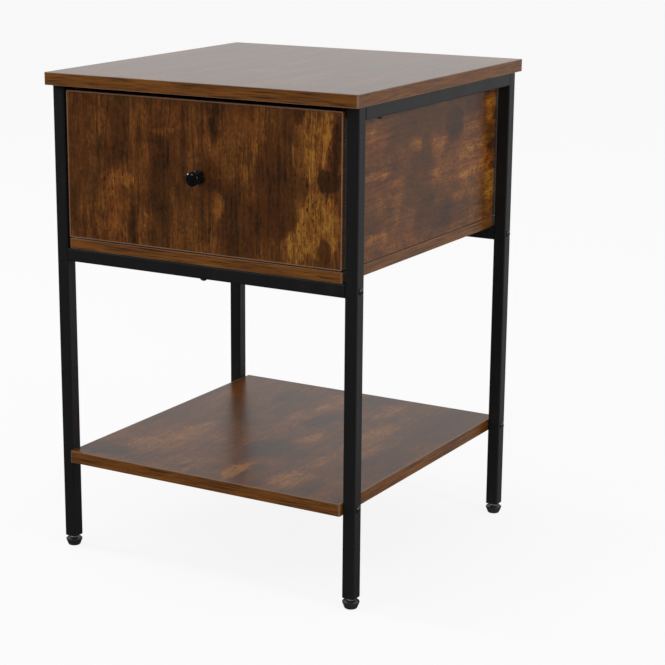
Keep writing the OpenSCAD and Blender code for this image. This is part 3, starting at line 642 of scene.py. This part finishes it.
# Clouds and golden fields of the boards that show most, about each board's middle, in millimetres:
# across the grain, along the grain, half width, half height, strength, softness.
FRONT_DARK = (
    (-50, -6, 17, 58, 0.80, 0.40), (-48, 36, 6, 7, 1.0, 0.30), (-104, 34, 22, 30, 0.45, 0.55),
    (-86, -62, 7, 20, 0.70, 0.50), (-60, -62, 8, 18, 0.45, 0.50), (22, 60, 5, 24, 0.85, 0.40),
    (40, -44, 11, 46, 0.90, 0.40), (20, -6, 14, 8, 0.60, 0.50), (94, 6, 20, 46, 0.80, 0.40),
    (84, -34, 26, 20, 0.65, 0.45), (108, 44, 10, 24, 0.50, 0.45), (162, 11, 15, 13, 1.0, 0.10),
    (170, 48, 6, 28, 0.95, 0.25), (120, 74, 6, 10, 0.80, 0.30), (152, -66, 9, 10, 0.75, 0.35),
    (-166, 0, 6, 80, 0.45, 0.50), (60, -60, 6, 30, 0.40, 0.50), (-20, 10, 6, 30, 0.35, 0.60))
FRONT_GOLD = (
    (148, -38, 27, 38, 0.95, 0.10), (116, -64, 16, 20, 0.80, 0.20), (156, 54, 7, 34, 1.0, 0.30),
    (136, 26, 16, 18, 0.62, 0.40), (134, 60, 12, 24, 0.45, 0.45), (-106, -10, 24, 8, 0.55, 0.35),
    (-118, -46, 22, 34, 0.50, 0.40), (-132, -60, 5, 28, 0.55, 0.40), (24, -28, 8, 16, 0.60, 0.40),
    (20, 32, 10, 14, 0.50, 0.50), (-46, 48, 15, 4, 0.60, 0.35), (-129, 60, 3, 22, 0.62, 0.45),
    (-70, -58, 9, 12, 0.45, 0.45), (68, 46, 26, 28, 0.35, 0.50), (-10, -70, 16, 20, 0.30, 0.50))
SIDE_DARK = (
    (54, -5, 20, 84, 0.60, 0.40), (38, 58, 22, 22, 0.95, 0.18), (6, -8, 34, 15, 0.60, 0.40),
    (-14, -24, 30, 30, 0.55, 0.45), (-60, 36, 18, 36, 0.85, 0.30), (-46, -10, 26, 26, 0.60, 0.45),
    (36, 168, 7, 9, 1.0, 0.25), (2, 166, 7, 16, 0.95, 0.30), (-24, 165, 4, 12, 0.80, 0.30),
    (52, 100, 10, 22, 0.55, 0.45), (-16, 62, 30, 10, 0.35, 0.50), (-50, -124, 5, 20, 0.50, 0.50))
SIDE_GOLD = (
    (24, -30, 10, 12, 0.62, 0.22), (18, 20, 10, 16, 0.62, 0.22), (-10, 102, 42, 46, 0.50, 0.40),
    (46, 158, 22, 20, 0.95, 0.30), (-44, 160, 30, 20, 0.95, 0.35), (-32, -74, 12, 14, 0.55, 0.40),
    (4, -118, 4, 30, 0.75, 0.40), (-64, -118, 8, 34, 0.60, 0.50), (44, -126, 10, 26, 0.45, 0.50),
    (64, 28, 6, 14, 0.70, 0.40), (-6, 20, 8, 26, 0.45, 0.45))
SHELF_DARK = (
    (8, 62, 15, 30, 0.90, 0.35), (14, -66, 30, 34, 0.95, 0.35), (52, -72, 12, 24, 0.60, 0.45),
    (-76, 134, 22, 26, 0.60, 0.45), (146, 110, 30, 80, 0.60, 0.45), (-60, 14, 14, 14, 0.50, 0.45),
    (-150, -164, 34, 20, 0.75, 0.40), (-168, 10, 16, 90, 0.50, 0.50), (150, -50, 26, 60, 0.60, 0.45),
    (30, 176, 34, 16, 0.60, 0.45), (40, -132, 10, 16, 0.50, 0.45), (120, -160, 14, 30, 0.50, 0.45))
SHELF_GOLD = (
    (92, 28, 18, 62, 1.0, 0.35), (36, -6, 9, 24, 0.95, 0.35), (62, 140, 12, 44, 0.75, 0.45),
    (24, -152, 11, 28, 1.0, 0.35), (92, -150, 26, 30, 0.90, 0.40), (86, -76, 12, 30, 0.80, 0.40),
    (-104, -62, 30, 42, 0.62, 0.45), (-112, -118, 30, 26, 0.62, 0.45), (-22, 138, 18, 40, 0.62, 0.45),
    (-30, 62, 8, 24, 0.75, 0.45), (-40, -150, 24, 24, 0.45, 0.50), (118, -20, 8, 30, 0.70, 0.40))


# ---- Operators, one for each group of pieces ----


class SIDETABLE_OT_finish_boards(Operator):
    """Print the tabletop, shelf, cabinet and drawer front in rustic wood"""

    bl_idname = "side_table.finish_boards"
    bl_label = "Finish Boards"

    def execute(self, context):
        look = context.scene.side_table.boards
        for name, node, across, along, seed, rest in (
                ("tabletop", "tabletop_board", "X", "Y", 3.1, {"clouding": 0.6, "tone": 0.54}),
                ("shelf", "shelf_board", "X", "Y", 5.7,
                 {"dark": SHELF_DARK, "gold": SHELF_GOLD, "clouding": 0.3, "lines": 0.8, "tone": 0.56}),
                ("drawer_front", "drawer_front_board", "X", "Z", 1.3,
                 {"dark": FRONT_DARK, "gold": FRONT_GOLD, "clouding": 0.15}),
                ("side_right", "side_panel_right", "Z", "Y", 7.9,
                 {"dark": SIDE_DARK, "gold": SIDE_GOLD, "clouding": 0.2, "lines": 0.8, "tone": 0.56}),
                ("side_left", "side_panel_left", "Z", "Y", 11.3, {}),
                ("bottom", "bottom_board", "Y", "X", 13.9, {})):
            give(printed_board("print_" + name, look, across, along, node, seed, **rest), node)
        return {"FINISHED"}


class SIDETABLE_OT_finish_bands(Operator):
    """Band the edges of the boards"""

    bl_idname = "side_table.finish_bands"
    bl_label = "Finish Edge Bands"

    def execute(self, context):
        look = context.scene.side_table.boards
        # The last number scales both the paler cut edges and the painted highlight on the rounded edges
        give(edge_band("band_tabletop", look, "Z", 1.0, 1.5), "tabletop_edge_bands")
        give(edge_band("band_shelf", look, "Z", 2.0), "shelf_edge_bands")
        give(edge_band("band_bottom", look, "Z", 3.0), "bottom_board_edge_bands")
        give(edge_band("band_drawer_front", look, "Y", 4.0, 0.7), "drawer_front_edge_bands")
        return {"FINISHED"}


class SIDETABLE_OT_finish_drawer_box(Operator):
    """Finish the drawer's box, its bottom, the back of the cabinet and the dowels"""

    bl_idname = "side_table.finish_drawer_box"
    bl_label = "Finish Drawer Box and Back"

    def execute(self, context):
        brown, darker = (0.085, 0.043, 0.020), (0.048, 0.023, 0.011)
        for index, node in enumerate(("drawer_side_left", "drawer_side_right")):
            give(plain_laminate("laminate_" + node, brown, darker, "Z", "Y", node, 2.0 + index), node)
        for name, colour, shade, across, along, node, seed, roughness in (
                ("laminate_drawer_back", brown, darker, "Z", "X", "drawer_back", 5.0, 0.36),
                ("hardboard_bottom", (0.16, 0.09, 0.05), (0.10, 0.055, 0.03), "X", "Y",
                 "drawer_bottom", 6.0, 0.5),
                ("hardboard_back", (0.11, 0.055, 0.026), (0.06, 0.028, 0.013), "X", "Z",
                 "back_panel", 7.0, 0.5),
                ("beech", (0.50, 0.33, 0.18), (0.38, 0.24, 0.12), "X", "Z", "panel_dowels", 8.0, 0.55)):
            give(plain_laminate(name, colour, shade, across, along, node, seed, roughness), node)
        return {"FINISHED"}


class SIDETABLE_OT_make_frame(Operator):
    """Draw the legs and rails as hollow square tube with round corners, powder coated black"""

    bl_idname = "side_table.make_frame"
    bl_label = "Make Steel Frame"

    def execute(self, context):
        steel = context.scene.side_table.steel
        coat = powder_coat(steel)
        tubes = [("leg_" + corner, "Z") for corner in CORNERS]
        tubes += [("top_rail_left", "Y"), ("top_rail_right", "Y")]
        tubes += [("front_cross_rail", "X"), ("rear_cross_rail", "X")]
        for node, axis in tubes:
            surface = square_tube(node, axis, steel.corner_radius, steel.wall)
            make_piece(node + "_tube", [(surface, True)], "root", [node], coat)
        return {"FINISHED"}


def plug_surface(x, y, low, rim, half, radius, wall, depth, bore):
    """Bored leg plug as a stack of rounded squares: a cushioned rim, then the body inside the tube.

    A ring's inset from the rim's side follows a quarter circle below, and its height follows the same one.
    The first and last rings are circles of the bore's radius, and the sweep closes through the bore.
    """
    soft, least = 0.0009, 0.00005
    rings = [(bore, bore, 0.0)]
    for q in np.linspace(0, np.pi / 2, 7):
        inset = soft * (1 - math.sin(q))
        rings.append((half - inset, max(radius - inset, least), soft * (1 - math.cos(q))))
    body = (half - wall, max(radius - wall, least))
    rings += [(half, radius, rim), (*body, rim), (*body, rim + depth), (bore, bore, rim + depth)]
    sections = [along_axis(square_section(size, corner, support=0.00002), low + height, "Z")
                for size, corner, height in rings]
    return np.stack(sections) + np.array([x, y, 0.0])


def stud_surface(x, y, low, high, diameter, pitch):
    """Threaded rod: its radius falls below the crest by a rounded V that climbs one pitch a turn.

    At height h and angle a the depth is d * (0.5 - 0.5 cos(2 pi (h / pitch) - a)) ** 0.8, and it
    fades out in a chamfer over the last half pitch at either end.
    """
    sides, rows = 40, int((high - low) / pitch * 10)
    height = np.linspace(low, high, rows)[:, None]
    angle = np.linspace(0, 2 * np.pi, sides, endpoint=False)[None]
    depth = 0.00052
    wave = (0.5 - 0.5 * np.cos(2 * np.pi * height / pitch - angle)) ** 0.8
    end = np.minimum(height - low, high - height)
    radius = diameter / 2 - depth * wave - np.clip(pitch * 0.5 - end, 0, None) * 0.8
    grid = np.stack([radius * np.cos(angle), radius * np.sin(angle), height + 0 * angle], -1)
    ends = [np.broadcast_to([0.0, 0.0, level], (1, sides, 3)) for level in (low, high)]
    return np.concatenate([ends[0], grid, ends[1]]) + np.array([x, y, 0.0])


def pad_profile(radius, height):
    """Outline of a foot pad from the floor up: sole, rolled edge, flaring side, round rim, dished top."""
    sole = radius * 0.62
    outline = [(0.0, 0.0), (sole * 0.98, 0.0)]
    outline += arc(sole, radius * 0.16, radius * 0.14, radius * 0.16, -90, -22, 8)
    outline += arc(radius * 0.88, height - radius * 0.14, radius * 0.12, radius * 0.14, -28, 90, 14)
    outline += [(radius * 0.80, height), (radius * 0.77, height - 0.0003), (radius * 0.55, height - 0.0003)]
    outline += [(radius * 0.52, height), (radius * 0.34, height), (0.0, height)]
    return outline


class SIDETABLE_OT_make_feet(Operator):
    """Make the levelling feet, their threaded studs and the plugs in the ends of the legs"""

    bl_idname = "side_table.make_feet"
    bl_label = "Make Levelling Feet"

    def execute(self, context):
        table = context.scene.side_table
        zinc = brushed_zinc("zinc_stud", 0.45)
        moulded = smooth_finish("foot_plastic", (0.020, 0.020, 0.021), 0.40, grains=1300.0, depth=0.00001)
        plug_finish = smooth_finish("plug_plastic", (0.014, 0.014, 0.015), 0.45, grains=1300.0, depth=0.00001)
        thread_clearance = 0.0002
        plugs = []
        low_plug, high_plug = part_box("leg_end_plugs")
        for corner in CORNERS:
            body = "foot_" + corner
            low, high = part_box("foot_pad_" + corner)
            x, y = (low.x + high.x) / 2, (low.y + high.y) / 2
            pad = turned(pad_profile((high.x - low.x) / 2, high.z), (x, y, 0.0), (0, 0, 1))
            make_piece("pad_" + corner, [(pad, False)], body, ["foot_pad_" + corner],
                       moulded, 50)
            low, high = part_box("foot_stud_" + corner)
            stud = stud_surface(x, y, low.z, high.z, high.x - low.x, table.hardware.thread_pitch)
            make_piece("stud_" + corner, [(stud, False)], body, ["foot_stud_" + corner], zinc, 70)
            leg_low, leg_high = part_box("leg_" + corner)
            half, rim = (leg_high.x - leg_low.x) / 2, leg_low.z - low_plug.z
            plugs.append((plug_surface(x, y, low_plug.z, rim, half, table.steel.corner_radius,
                                       table.steel.wall, high_plug.z - leg_low.z,
                                       (high.x - low.x) / 2 + thread_clearance), True))
        make_piece("leg_plugs", plugs, "root", ["leg_end_plugs"], plug_finish, 40)
        return {"FINISHED"}


def bolt_head(x, y, z, side, head_d, head_h, shank_d, length, socket):
    """Button-head bolt along X: rings that turn from the hexagon of the socket into the round of the dome.

    The hexagon's radius at angle a is s * cos(30) / cos((a mod 60) - 30), where s is half the width
    across corners. A ring's radius is a mix of that and of a circle, and its height follows the dome.
    """
    sides = 60
    angle = np.linspace(0, 2 * np.pi, sides, endpoint=False)
    hexagon = socket / 2 * math.cos(math.pi / 6) / np.cos(angle % (math.pi / 3) - math.pi / 6)
    circle = np.ones(sides)
    dome_r = ((head_d / 2) ** 2 + head_h ** 2) / (2 * head_h)

    def dome(radius):
        return head_h - dome_r + np.sqrt(dome_r ** 2 - radius ** 2)

    chamfer, rim, flat = 0.0002, 0.0003, 0.00012
    top, socket_floor, mouth = head_h - flat, head_h * 0.3, hexagon * 1.06
    rings = [(0 * circle, socket_floor * circle), (hexagon, socket_floor * circle),
             (hexagon, (top - chamfer) * circle), (mouth, top * circle)]
    for mix in np.linspace(0.15, 1.0, 12):
        radius = (1 - mix) * mouth + mix * (head_d / 2 - chamfer) * circle
        rings.append((radius, np.minimum(dome(radius), top)))
    rings += [(head_d / 2 * circle, rim * circle), (head_d / 2 * circle, 0 * circle),
              (shank_d / 2 * circle, 0 * circle), (shank_d / 2 * circle, -length * circle),
              (0 * circle, -length * circle)]
    grid = np.stack([np.stack([side * height, radius * np.cos(angle), radius * np.sin(angle)], -1)
                     for radius, height in rings])
    return grid + np.array([x, y, z])


class SIDETABLE_OT_make_frame_bolts(Operator):
    """Make the domed bolts that hold the cross rails and the shelf, with their hexagon sockets"""

    bl_idname = "side_table.make_frame_bolts"
    bl_label = "Make Frame Bolts"

    def execute(self, context):
        table = context.scene.side_table
        black = smooth_finish("black_bolt", (0.008, 0.008, 0.009), 0.26, coat=0.3)
        leg_low, leg_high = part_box("leg_front_right")
        shank_d, shank_length = 0.005, 0.026
        for node in ("rail_bolts", "shelf_bolts"):
            low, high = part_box(node)
            face, head_h = leg_high.x, high.x - leg_high.x
            z, head_d = (low.z + high.z) / 2, high.z - low.z
            y = (leg_low.y + leg_high.y) / 2
            bolts = [(bolt_head(side * face, end * y, z, side, head_d, head_h, shank_d, shank_length,
                                table.hardware.socket_across), False)
                     for side in (-1, 1) for end in (-1, 1)]
            make_piece(node + "_set", bolts, "root", [node], black)
        give(black, "tabletop_screws", "bottom_board_screws")
        return {"FINISHED"}


def knob_profile(head_r, height):
    """Outline of the knob from the drawer front out: foot, flare, waist, swelling neck and domed head."""
    foot_r, neck_r = head_r * 0.975, head_r * 0.848
    edge, foot_t = 0.0006, 0.0014
    ring = height - head_r * 0.44
    low_waist, high_waist = foot_t + (ring - foot_t) * 0.38, foot_t + (ring - foot_t) * 0.5
    lip, lip_angle = ring - head_r * 0.24, -25
    lip_r = head_r * math.cos(math.radians(lip_angle))
    outline = [(0.0, 0.0), (foot_r - 0.0002, 0.0), (foot_r, 0.0002)]
    outline += arc(foot_r - edge, foot_t - edge, edge, edge, 0, 90, 7)
    q = np.radians(np.linspace(6, 90, 16))
    outline += list(zip(neck_r + (foot_r - edge - neck_r) * (1 - np.sin(q)),
                        foot_t + (low_waist - foot_t) * (1 - np.cos(q))))
    q = np.radians(np.linspace(0, 84, 16))
    outline += list(zip(neck_r + (lip_r - neck_r) * (1 - np.cos(q)),
                        high_waist + (lip - high_waist) * np.sin(q)))
    q = np.radians(np.linspace(lip_angle + 2, 90, 44))
    rise = np.where(q < 0, ring - lip, height - ring)
    outline += list(zip(head_r * np.cos(q), ring + rise * np.sin(q)))
    return outline


class SIDETABLE_OT_make_knob(Operator):
    """Turn the knob of the drawer and enamel it gloss black"""

    bl_idname = "side_table.make_knob"
    bl_label = "Make Knob"

    def execute(self, context):
        enamel = smooth_finish("knob_enamel", tuple(context.scene.side_table.hardware.knob), 0.12,
                               coat=0.4, depth=0.000001, mottle=0.0, specular=0.1)
        low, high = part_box("drawer_knob")
        middle = (low + high) / 2
        knob = turned(knob_profile((high.x - low.x) / 2, high.y - low.y), (middle.x, high.y, middle.z),
                      (0, -1, 0), 96)
        make_piece("knob", [(knob, False)], "drawer", ["drawer_knob"], enamel, 60)
        return {"FINISHED"}


class SIDETABLE_OT_finish_runners(Operator):
    """Finish the runners, rollers, cams, nuts and screws inside the cabinet"""

    bl_idname = "side_table.finish_runners"
    bl_label = "Finish Runners and Fittings"

    def execute(self, context):
        epoxy = smooth_finish("runner_epoxy", (0.030, 0.030, 0.031), 0.35, depth=0.000006)
        nylon = smooth_finish("roller_nylon", (0.80, 0.78, 0.72), 0.42, depth=0.000004, mottle=0.08)
        zinc = brushed_zinc()
        for side in ("left", "right"):
            give(epoxy, "cabinet_runner_" + side, "drawer_runner_" + side)
            give(nylon, "front_roller_" + side, "rear_roller_" + side)
        give(zinc, "rail_end_nuts", "shelf_insert_nuts", "panel_base_screws", "panel_cam_bolts",
             "panel_cam_locks", "cabinet_runner_screws", "front_roller_axles", "drawer_cam_bolts",
             "drawer_cam_locks", "drawer_box_screws", "drawer_runner_screws", "rear_roller_axles",
             "knob_screw")
        return {"FINISHED"}


def floor_finish(studio):
    """Plain white floor with faint shadows. Satin faces see it bright towards the back and the right."""
    made, tree, shader, coordinates = new_finish("floor")
    shader.inputs["Base Color"].default_value = rgb(studio.floor)
    shader.inputs["Roughness"].default_value = 1.0
    shader.inputs["Specular IOR Level"].default_value = 0.0
    parts = place(tree, "SeparateXYZ", coordinates["Object"]).outputs
    far = calc(tree, "MULTIPLY_ADD", parts[0], 0.5, parts[1])
    level = ramp(tree, far, -0.5, 1.2, 0.02, studio.sheen)
    reflected = place(tree, "Emission", None, level)
    white = place(tree, "Emission", None, 1.0)
    path = tree.nodes.new("ShaderNodeLightPath").outputs
    lit = place(tree, "MixShader", studio.shadow, white.outputs[0], shader.outputs[0])
    direct = place(tree, "MixShader", path["Is Camera Ray"], shader.outputs[0], lit.outputs[0])
    mixed = place(tree, "MixShader", path["Is Glossy Ray"], direct.outputs[0], reflected.outputs[0])
    tree.links.new(mixed.outputs[0], tree.nodes["Material Output"].inputs["Surface"])
    return made


def surround(studio):
    """White surround with even light. Satin faces see a backdrop behind that is bright low down."""
    world = bpy.data.worlds.new("surround")
    bpy.context.scene.world = world
    world.use_nodes = True
    tree = world.node_tree
    background = tree.nodes["Background"]
    path = tree.nodes.new("ShaderNodeLightPath").outputs
    direction = place(tree, "SeparateXYZ", tree.nodes.new("ShaderNodeTexCoord").outputs["Generated"]).outputs
    behind = ramp(tree, calc(tree, "MULTIPLY_ADD", direction[0], 0.5, direction[1]), -0.1, 0.5)
    height = ramp(tree, direction[2], 0.13, 0.26, studio.horizon, studio.sheen)
    back = calc(tree, "MULTIPLY_ADD", behind, height, 0.02)
    glossy = place(tree, "Mix", path["Is Glossy Ray"], None, studio.sky, back).outputs[0]
    shown = place(tree, "Mix", path["Is Camera Ray"], None, glossy, 1.0).outputs[0]
    tree.links.new(shown, background.inputs["Strength"])
    background.inputs["Color"].default_value = (1.0, 1.0, 1.0, 1.0)


def softbox(name, place_at, aim, size, power):
    """Square area light that looks at a point."""
    light = bpy.data.lights.new(name, "AREA")
    light.size, light.energy = size, power
    lamp = added(name, light)
    lamp.location = place_at
    lamp.rotation_euler = (Vector(aim) - Vector(place_at)).to_track_quat("-Z", "Y").to_euler()


class SIDETABLE_OT_build_studio(Operator):
    """Lay the floor, set the surround and the softboxes and stand the camera"""

    bl_idname = "side_table.build_studio"
    bl_label = "Build Studio"

    def execute(self, context):
        scene, studio = context.scene, context.scene.side_table.studio
        scene.view_settings.view_transform = "Standard"
        half = 30.0
        mesh = bpy.data.meshes.new("floor")
        outline = [(-half, -half, 0), (half, -half, 0), (half, half, 0), (-half, half, 0)]
        mesh.from_pydata(outline, [], [(0, 1, 2, 3)])
        mesh.materials.append(floor_finish(studio))
        added("floor", mesh)
        surround(studio)
        middle = (0.0, 0.0, 0.4)
        softbox("left_softbox", (-2.3, -0.5, 1.4), middle, 0.5, studio.key)
        softbox("right_softbox", (2.4, -0.4, 1.5), middle, 0.4, studio.key * 0.7)
        softbox("front_softbox", (-1.2, -2.6, 2.3), middle, 1.2, studio.key * 0.6)
        lens = bpy.data.cameras.new("camera")
        lens.sensor_width, lens.lens = 36.0, studio.lens
        lens.shift_x, lens.shift_y = studio.camera_shift
        lens.clip_start, lens.clip_end = 0.05, 100.0
        scene.camera = added("camera", lens)
        scene.camera.matrix_world = (
            Matrix.Translation(studio.camera_place) @ Matrix.Rotation(studio.camera_turn, 4, "Z")
            @ Matrix.Rotation(math.pi / 2 - studio.camera_tilt, 4, "X")
            @ Matrix.Rotation(studio.camera_roll, 4, "Z"))
        return {"FINISHED"}


class SIDETABLE_PT_tools(Panel):
    """Lists the side table's operators in the sidebar"""

    bl_label = "Side Table"
    bl_idname = "SIDETABLE_PT_tools"
    bl_space_type = "VIEW_3D"
    bl_region_type = "UI"
    bl_category = "Side Table"

    def draw(self, context):
        for step in STEPS:
            self.layout.operator(step.bl_idname)


STEPS = (
    SIDETABLE_OT_finish_boards, SIDETABLE_OT_finish_bands, SIDETABLE_OT_finish_drawer_box,
    SIDETABLE_OT_make_frame, SIDETABLE_OT_make_feet, SIDETABLE_OT_make_frame_bolts,
    SIDETABLE_OT_make_knob, SIDETABLE_OT_finish_runners, SIDETABLE_OT_build_studio)
CLASSES = (BoardSettings, SteelSettings, HardwareSettings, StudioSettings, SideTableSettings,
           *STEPS, SIDETABLE_PT_tools)


def register():
    """Registers the classes and hangs the settings on the scene."""
    for cls in CLASSES:
        bpy.utils.register_class(cls)
    bpy.types.Scene.side_table = PointerProperty(type=SideTableSettings)


def unregister():
    """Takes the settings off the scene and unregisters the classes."""
    del bpy.types.Scene.side_table
    for cls in reversed(CLASSES):
        bpy.utils.unregister_class(cls)


def main():
    """Runs every step in order."""
    register()
    for step in STEPS:
        area, name = step.bl_idname.split(".")
        getattr(getattr(bpy.ops, area), name)()


if __name__ == "__main__":
    main()
